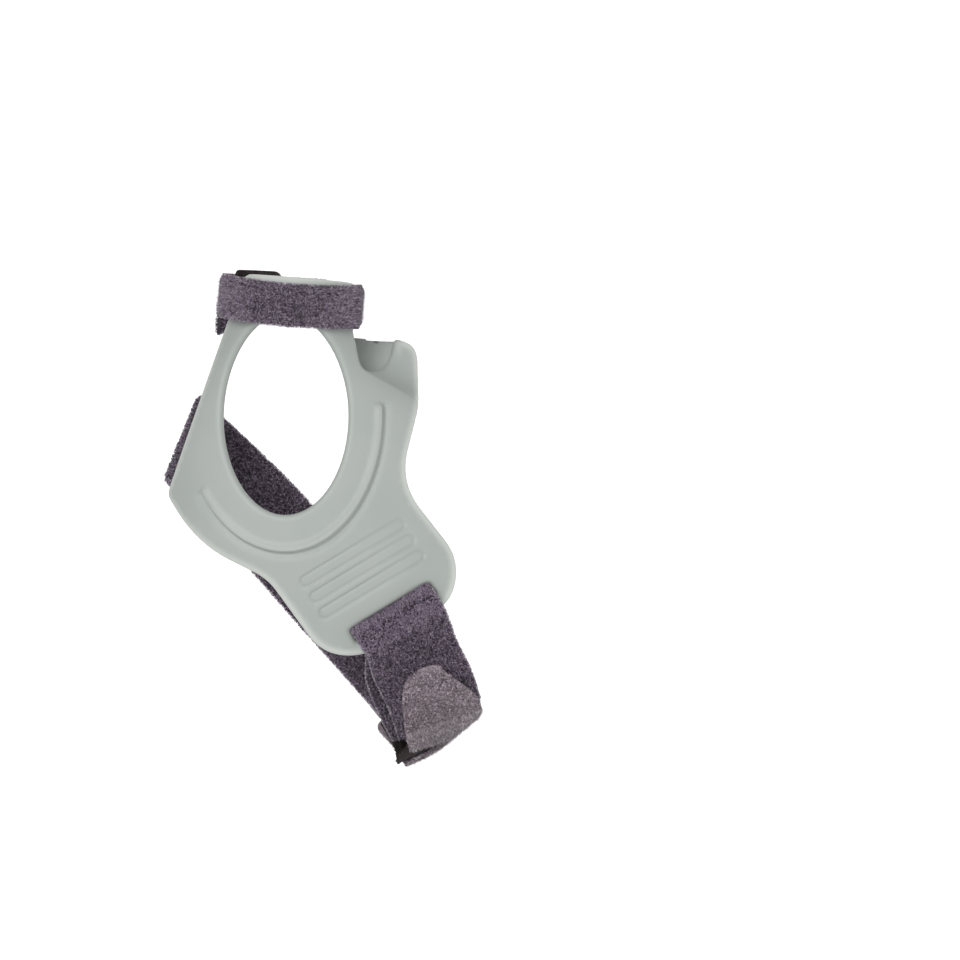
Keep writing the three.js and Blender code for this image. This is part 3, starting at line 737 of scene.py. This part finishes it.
def fibreFinish(name, dark, light, sheen):  # painted shade darker at the roots, and each fibre a little different
    finish = Finish(name)
    each = finish.node("NewGeometry", output="Random Per Island")
    patch = finish.noise(fibreShade["patchScale"], 2.0)
    # painted shade through the mark: fibres darker towards their roots
    shade = finish.mark() * fibreShade["tip"] + each ** fibreShade["eachCurve"] * fibreShade["each"]
    shade = finish.between(shade + patch * fibreShade["patch"] - fibreShade["less"], 0.0, 1.0)
    return finish.surface(Base_Color=finish.mix(shade, dark, light), Roughness=0.85, Sheen_Weight=sheen,
                          Sheen_Roughness=0.4)


pileBase = tapeFinish("loop_pile_tape", tone(34, 27, 37), tone(62, 52, 65), 2600.0)
pileHair = fibreFinish("loop_pile", tone(22, 15, 25), tone(146, 128, 151), 0.5)
# painted sheen: a lighter copy of the pile fibres, for the edge fringe and the haze lit at grazing
edgeHairPaintedSheen = fibreFinish("loop_pile_edge_painted_sheen", tone(84, 72, 86), tone(222, 208, 224), 0.4)
feltBase = tapeFinish("tab_felt", tone(58, 49, 56), tone(150, 136, 145), 2400.0)
feltHair = fibreFinish("felt_fibre", tone(50, 41, 48), tone(197, 181, 191), 0.4)
# painted highlight: a lighter copy of the felt fibres, for light caught by the fuzz round the fold and slit
feltFringePaintedLight = fibreFinish("felt_fringe_painted_light", tone(120, 108, 116), tone(236, 226, 231), 0.6)
hookBlack = tapeFinish("hook_tape", tone(24, 21, 22), tone(58, 51, 50), 1800.0, detail=0.5,
                       bump=(0.5, 0.00015), rough=0.85, Specular_IOR_Level=0.15)


def addPile(name, roots, settings, finish):
    return finishPiece(pileMesh(name, settings, *roots), finish)


def dressStrap(label, strap, band, faces):  # pile on each part of its faces, then on its edges, then the haze
    lift, whole = strap["thickness"] / 2, (strap["pileFrom"], 1.0)
    made = []
    for name, part, side, amount in faces:
        roots = bandRoots(band, part, strap[amount], side, lift)
        made.append(addPile(label + name, roots, loopPile, pileHair))
    roots = edgeRoots(band, whole, strap["edgePile"], strap["thickness"])
    made.append(addPile(label + "_edge_pile", roots, edgePile, edgeHairPaintedSheen))
    roots = bandRoots(band, whole, strap["haze"], -1, lift)
    made.append(addPile(label + "_haze", roots, hazePile, edgeHairPaintedSheen))
    return made


# hand strap: from under the shell's left edge, round the back, up through the slot and down over the front

handStrap = {
    "width": 21.6, "thickness": 1.0, "cadThickness": 1.8, "samples": 420,
    "edgeCorners": (3, 4), "edgeZ": -6.0, "edgeDeg": 70.2, "tuck": 1.2, "tuckGap": 0.3,  # at the left edge
    "rimGap": 1.05, "shift": 0.15, "overRim": 4.2, "foldTurns": 3,  # at the slot
    "foldBend": 1.2, "rearBend": 2.7, "deepest": 1.6,
    "frontPile": 13.0, "backPile": 11.0, "innerPile": 5.0, "haze": 3.0,  # loops on a mm2
    "edgePile": 13.0,  # and on a mm of edge
    "pileFrom": 0.015, "innerFrom": 0.002,  # where the pile starts, as a share of the length
}
acrossBack = [  # middle of the strap and the lean of its width seen from the front
    (-24.4, 23.0, -5.6, 69), (-24.2, 31.0, -6.8, 66), (-18.5, 39.0, -12.5, 60), (-6.0, 43.2, -25.0, 52),
    (10.0, 44.6, -43.0, 46), (24.0, 42.4, -58.5, 42), (32.0, 35.6, -67.8, 37), (34.6, 27.1, -72.3, 33),
    (34.3, 19.4, -71.6, 30), (32.3, 13.9, -67.2, 28), (29.1, 11.7, -58.9, 27.5),
]
overFront = [(31.2, 9.2, -58.8, 26.5), (34.7, 10.5, -66.0, 26.5), (37.1, 15.2, -73.4, 26.5)]


def tuckedStations():  # under the shell's left edge
    top, bottom = (outlineCorners[k] for k in handStrap["edgeCorners"])
    edgeX = np.interp(handStrap["edgeZ"], [bottom[1], top[1]], [bottom[0], top[0]])
    lean, step = math.radians(handStrap["edgeDeg"]), plate["edgeStep"]
    run = np.array([math.cos(lean), math.sin(lean)])
    below = plate["thickness"] + handStrap["tuckGap"] + handStrap["cadThickness"] / 2
    made = []
    for inward in (handStrap["tuck"], handStrap["tuck"] / 2, 0):
        flat = np.array([[edgeX + run[1] * inward, handStrap["edgeZ"] - run[0] * inward]])
        ahead = sheetPoints(flat + run * step)[0] - sheetPoints(flat - run * step)[0]
        made.append((sheetPoints(flat)[0] - sheetNormals(flat, step)[0] * below, unit(ahead)))
    return made


def foldStations():  # round the rim below the slot
    middle, step = np.array([slot["x"], slot["z"]]), plate["edgeStep"]
    flat = (middle - across * slot["width"] / 2 + along * handStrap["shift"])[None, :]
    normal = sheetNormals(flat, step)[0]
    tangent = unit(sheetPoints(flat + along * step)[0] - sheetPoints(flat - along * step)[0])
    ahead = -np.cross(normal, tangent)
    core = sheetPoints(flat)[0] - normal * plate["thickness"] / 2
    reach = (plate["thickness"] + handStrap["cadThickness"]) / 2 + handStrap["rimGap"]
    turns = handStrap["foldTurns"]

    def at(forward, out):
        return (core + ahead * forward + normal * out, tangent)

    def corner(side, i):
        bend = handStrap["foldBend"] if side > 0 else handStrap["rearBend"]
        deep = min(bend, handStrap["deepest"])
        turn = math.pi / 2 * i / turns
        return at(-bend * math.cos(turn), side * (reach - deep * (1 - math.sin(turn))))
    return ([at(handStrap["overRim"], -reach)] + [corner(-1, turns - i) for i in range(turns + 1)]
            + [corner(1, i) for i in range(turns + 1)] + [at(handStrap["overRim"], reach)])


def leaning(row):
    x, y, z, lean = row
    lean = math.radians(lean)
    return np.array([x, y, z]), np.array([math.cos(lean), 0, math.sin(lean)])


handStations = tuckedStations() + [leaning(row) for row in acrossBack] + foldStations()
handStations += [leaning(row) for row in overFront]
handBand = bandFrom(handStations, handStrap["width"], handStrap["samples"])
handTape = makeMesh("hand_strap_tape", *bandSolid(handBand, handStrap["thickness"]))
finishPiece(handTape, pileBase, "hand_strap")
foldAt = handBand.share(len(tuckedStations()) + len(acrossBack) + 1, len(handStations))
handPile = dressStrap("hand_strap", handStrap, handBand, [
    ("_pile", (foldAt, 1.0), -1, "frontPile"),
    ("_back_pile", (handStrap["pileFrom"], foldAt / 2), -1, "backPile"),
    ("_side_pile", (foldAt / 2, foldAt), -1, "backPile"),
    ("_inner_pile", (handStrap["innerFrom"], 1.0), 1, "innerPile"),
])


# thumb strap, wound once round the collar and lapped behind

thumbStrap = {
    "width": 9.85, "overPile": 10.4, "thickness": 1.0, "cadThickness": 2.2, "stations": 88, "samples": 320,
    "leanDeg": 4.5, "outerPile": 13.0, "innerPile": 6.0, "haze": 8.0, "edgePile": 14.0, "pileFrom": 0.0,
}
thumbLoop = {"x": 1.1, "y": 13.4, "z": 27.0, "halfWidth": 16.15, "halfDepth": 13.45, "squareness": 3.0}
thumbRows = {  # degrees round the collar, and there how far it stands off and how high it lies
    "turn": (70, 180, 270, 360, 395, 425, 468, 486, 510),
    "grow": (0, 0, 0, 0, 0.1, 2.65, 2.65, 2.65, 2.65),
    "rise": (1.5, 0.7, -0.68, 0.5, 0.6, 0.6, 0.1, -1.6, -3.7),
}
thumbHooks = {"from": 94, "to": 162, "width": 9.6, "thickness": 0.7, "rise": 1.6, "gap": 0.35, "round": 2.2,
              "stations": 60, "samples": 60}


def thumbStations(turns, extraRise):
    lean = math.radians(thumbStrap["leanDeg"])
    axis = np.array([math.sin(lean), 0, math.cos(lean)])
    right = np.array([math.cos(lean), 0, -math.sin(lean)])
    power = 2 / thumbLoop["squareness"]
    made = []
    for turn in turns:
        grow = np.interp(turn, thumbRows["turn"], thumbRows["grow"])
        rise = np.interp(turn, thumbRows["turn"], thumbRows["rise"]) + extraRise
        c, s = math.cos(math.radians(turn)), math.sin(math.radians(turn))
        place = np.array([thumbLoop["x"], thumbLoop["y"], thumbLoop["z"]])
        place = place + right * (thumbLoop["halfWidth"] + grow) * math.copysign(abs(c)**power, c)
        place = place + np.array([0, (thumbLoop["halfDepth"] + grow) * math.copysign(abs(s)**power, s), 0])
        made.append((place + axis * rise, axis))
    return made


turns = np.linspace(thumbRows["turn"][0], thumbRows["turn"][-1], thumbStrap["stations"])
thumbBand = bandFrom(thumbStations(turns, 0), thumbStrap["width"], thumbStrap["samples"])
thumbTape = makeMesh("thumb_strap_tape", *bandSolid(thumbBand, thumbStrap["thickness"]))
finishPiece(thumbTape, pileBase, "thumb_strap")
thumbPile = dressStrap("thumb_strap", thumbStrap, thumbBand, [
    ("_pile", (0.0, 1.0), -1, "outerPile"), ("_inner_pile", (0.0, 1.0), 1, "innerPile"),
])


def roundedEnds(stations, width, radius):  # widths that round the corners of a strip
    run = runLength(np.array([station[0] for station in stations]))
    fromEnd = np.minimum(np.minimum(run, run[-1] - run), radius)
    return width - 2 * (radius - np.sqrt(radius**2 - (radius - fromEnd)**2))


turns = np.linspace(thumbHooks["from"], thumbHooks["to"], thumbHooks["stations"])
hookStations = thumbStations(turns, thumbHooks["rise"])
hookWidths = roundedEnds(hookStations, thumbHooks["width"], thumbHooks["round"])
thumbHookBand = bandFrom(hookStations, hookWidths, thumbHooks["samples"])
lift = (thumbStrap["cadThickness"] + thumbHooks["thickness"]) / 2 + thumbHooks["gap"]
thumbHookTape = makeMesh("thumb_hook_tape", *bandSolid(thumbHookBand, thumbHooks["thickness"], lift))
finishPiece(thumbHookTape, hookBlack, "thumb_hooks")


# hook tab, folded over the end of the hand strap and slit at its fold

tab = {
    "thickness": 1.3, "grid": 0.8, "edge": 0.6, "rings": (0.15, 0.5, 1.0),
    "width": 18.0, "samples": 200, "fuzz": 16.0,
    "slitNear": 6.1, "slitFar": 7.0, "slitLean": 0.6, "slitEnd": 15.0,  # rows at the left edge, reach across
    "sag": 1.7, "sagRow": 7.2, "sagRun": 5.0,  # how far the fold hangs down in its middle
    "fringe": 26.0, "fringeRows": (5.3, 7.8), "fringeDepth": (-0.3, 0.5),  # hairs on a mm2
    "slitFringe": 30.0, "slitInset": 0.2, "slitSpread": 0.5,  # hairs on a mm of the slit
}
tabHook = {
    "thickness": 0.7, "grid": 0.9, "edge": 0.7, "rings": (0.4, 1.0), "gap": 0.05, "hooks": 3.0,
    "inset": 1.2, "tip": 3.0, "proud": 1.8, "proudFrom": 3.0, "proudTo": 6.0,  # it shows past the left edge
}
tabRows = [  # left edge x, y, z and right edge x, y, z, from the rounded tip on the front
    (35.4, 5.7, -60.2, 37.0, 5.7, -60.3), (32.5, 5.8, -61.1, 38.5, 5.8, -61.7),
    (30.1, 5.9, -62.7, 40.2, 6.1, -62.9), (28.6, 6.3, -64.8, 42.8, 6.8, -64.8),
    (28.0, 7.2, -68.4, 46.2, 9.0, -67.8), (28.5, 9.6, -74.4, 46.9, 13.0, -69.6),
    (29.4, 14.5, -80.0, 46.8, 18.5, -71.3), (28.6, 24.0, -84.3, 45.4, 27.0, -72.6),
    (26.4, 33.0, -81.4, 42.4, 36.0, -70.6), (21.0, 40.6, -75.6, 36.6, 42.4, -64.8),
]
tabBand = Band([r[:3] for r in tabRows], [r[3:] for r in tabRows], tab["samples"])


def tabRun(row):  # how far along the tab one of its rows is, in mm
    return tabBand.share(row, len(tabRows)) * tabBand.length


def tabAt(flat):  # flat is across and along, in mm
    point, out, run = tabBand.at(flat[:, 1] / tabBand.length, flat[:, 0] / tab["width"])[:3]
    fromFold = (flat[:, 1] - tabRun(tab["sagRow"])) / tab["sagRun"]
    middle = np.sin(np.clip(flat[:, 0] / tab["width"], 0, 1) * math.pi)
    point[:, 2] -= tab["sag"] * middle * np.exp(-fromFold**2)
    return point, out, run


def onTab(lift):
    def place(flat):
        point, out = tabAt(flat)[:2]
        return point + out * lift, -out
    return place


def tabLoop():
    width, length = tab["width"], tabBand.length
    near, far = tabRun(tab["slitNear"]), tabRun(tab["slitFar"])
    corners = [(0, 0, 0.2, 0.2), (width, 0, 0.2, 0.2), (width, length, 2.5, 2.5), (0, length, 2.5, 2.5),
               (0, far, 0.8, 0.8), (tab["slitEnd"], far - tab["slitLean"], 1.0, 1.0), (0, near, 1.6, 1.6)]
    return roundedLoop(corners, tab["edge"])


def tabHookLoop():
    width, length = tab["width"], tabBand.length
    low, inset, tip = -tabHook["proud"], tabHook["inset"], tabHook["tip"]
    near = tabRun(tab["slitNear"])
    corners = [(inset, tip, 1, 1), (width - inset, tip, 1, 1), (width - inset, length - inset, 1, 1),
               (inset, length - inset, 1, 1), (low, near + tabHook["proudTo"], 2, 1),
               (low, near + tabHook["proudFrom"], 1, 1), (inset, near, 1, 1)]
    return roundedLoop(corners, tabHook["edge"])


def tabSpread(loop, low, high, perArea):  # places spread over part of a flat outline
    flat = rng.uniform(low, high, (int(perArea * np.prod(np.subtract(high, low))), 2))
    return tabAt(flat[insideLoop(flat, loop)])


def tabRoots(loop, perArea, side, lift):
    point, out, run = tabSpread(loop, loop.min(0), loop.max(0), perArea)
    return point + out * lift, out * side, run


def foldRoots():  # longer hairs round the fold and along the slit
    low, high = (tabRun(row) for row in tab["fringeRows"])
    point, out, run = tabSpread(tabLoop(), (0, low), (tab["width"], high), tab["fringe"])
    return point - out * tab["thickness"] * rng.uniform(*tab["fringeDepth"], (len(point), 1)), -out, run


def slitRoots():  # hairs on the slit's two rims
    near, far = tabRun(tab["slitNear"]), tabRun(tab["slitFar"])
    tip, inset = far - tab["slitLean"], tab["slitInset"]
    count = int(tab["slitFringe"] * tab["slitEnd"])
    share, onFar = rng.uniform(0, 1, count), rng.integers(0, 2, count)
    row = np.where(onFar, far + (tip - far) * share + inset, near + (tip - near) * share - inset)
    point, out, run = tabAt(np.column_stack([share * tab["slitEnd"], row]))
    height = rng.uniform(-0.5, 0.5, (count, 1)) * tab["thickness"]
    into = run * np.where(onFar, -1, 1)[:, None]
    return point + out * height, unit(into - out * tab["slitSpread"]), np.cross(out, run)


tabFelt = makeMesh("hook_tab_felt", *thickSheet([tabLoop()], onTab(-tab["thickness"] / 2), tab))
finishPiece(tabFelt, feltBase, "hook_tab")
roots = tabRoots(tabLoop(), tab["fuzz"], -1, -tab["thickness"] / 2)
tabPile = [addPile("hook_tab_fuzz", roots, feltPile, feltHair),
           addPile("hook_tab_fringe", foldRoots(), feltFringe, feltFringePaintedLight),
           addPile("hook_tab_slit_fringe", slitRoots(), feltFringe, feltFringePaintedLight)]
hookLift = tab["thickness"] / 2 + tabHook["gap"]
tabHooks = makeMesh("tab_hook_tape", *thickSheet([tabHookLoop()], onTab(hookLift), tabHook))
finishPiece(tabHooks, hookBlack, "tab_hooks")
roots = tabRoots(tabHookLoop(), tabHook["hooks"], 1, hookLift + tabHook["thickness"])
addPile("tab_hook_pile", roots, hookPile, hookBlack)


# camera, light and stage

view = {"x": 46.8, "z": -15.6, "distance": 2400.0, "lens": 375.0, "sensor": 36.0}
cameraData = bpy.data.cameras.new("camera")
cameraData.lens, cameraData.sensor_width = view["lens"], view["sensor"]
camera = bpy.data.objects.new("camera", cameraData)
camera.location = (view["x"] * mm, -view["distance"] * mm, view["z"] * mm)
camera.rotation_euler = (math.radians(90), 0, 0)
bpy.context.scene.collection.objects.link(camera)
bpy.context.scene.camera = camera

lights = [  # name, where it comes from, how wide it looks in degrees, strength
    ("key", (-0.34, -1.0, 0.24), 32, 2.1),
    ("left", (-1.0, -0.15, 0.1), 50, 0.35),
    ("fill", (1.0, -0.2, -0.3), 50, 1.2),
    ("floor", (-0.1, -0.7, -1.0), 60, 0.8),
    ("top", (0.1, -0.45, 1.0), 40, 0.5),
    ("back", (0.2, 1.0, 0.1), 50, 2.4),
]
for name, place, angle, strength in lights:
    lamp = bpy.data.lights.new(name, "SUN")
    lamp.angle, lamp.energy = math.radians(angle), strength
    lampObject = bpy.data.objects.new(name, lamp)
    lampObject.location = place
    lampObject.rotation_euler = (-Vector(place)).to_track_quat("-Z", "Y").to_euler()
    bpy.context.scene.collection.objects.link(lampObject)

worldGlow = 0.3
world = bpy.data.worlds.new("studio")
world.use_nodes = True
world.node_tree.nodes["Background"].inputs["Color"].default_value = (1, 1, 1, 1)
world.node_tree.nodes["Background"].inputs["Strength"].default_value = worldGlow
bpy.context.scene.world = world
bpy.context.scene.view_settings.view_transform = "Standard"

stage = {"floorZ": -600.0, "radius": 2800.0, "curve": 1200.0, "wall": 2400.0, "hub": 0.5, "arc": 16,
         "sides": 96, "glow": 0.25}


def stageBowl():  # round pale floor that sweeps up into a wall
    arc = np.linspace(0, math.pi / 2, stage["arc"])
    profile = [(stage["hub"], stage["floorZ"]), (stage["radius"], stage["floorZ"])]
    profile += [(stage["radius"] + stage["curve"] * math.sin(a),
                 stage["floorZ"] + stage["curve"] * (1 - math.cos(a))) for a in arc[1:]]
    profile += [(stage["radius"] + stage["curve"], stage["floorZ"] + stage["wall"])]
    turn = np.linspace(0, 2 * math.pi, stage["sides"], endpoint=False)
    rows = [np.column_stack([r * np.cos(turn), r * np.sin(turn), np.full(len(turn), z)]) for r, z in profile]
    return np.vstack(rows), gridFaces(len(rows), stage["sides"], closed=True)


bowl = makeMesh("stage_floor", *stageBowl())
floorFinish = Finish("stage_white")
bowl.data.materials.append(floorFinish.surface(Base_Color=(0.9, 0.9, 0.9, 1), Roughness=0.9,
                                               Emission_Color=(1, 1, 1, 1), Emission_Strength=stage["glow"]))
bowl.visible_shadow = False  # the lights reach over its wall, and its white doesn't flood the object
bowl.visible_diffuse = False
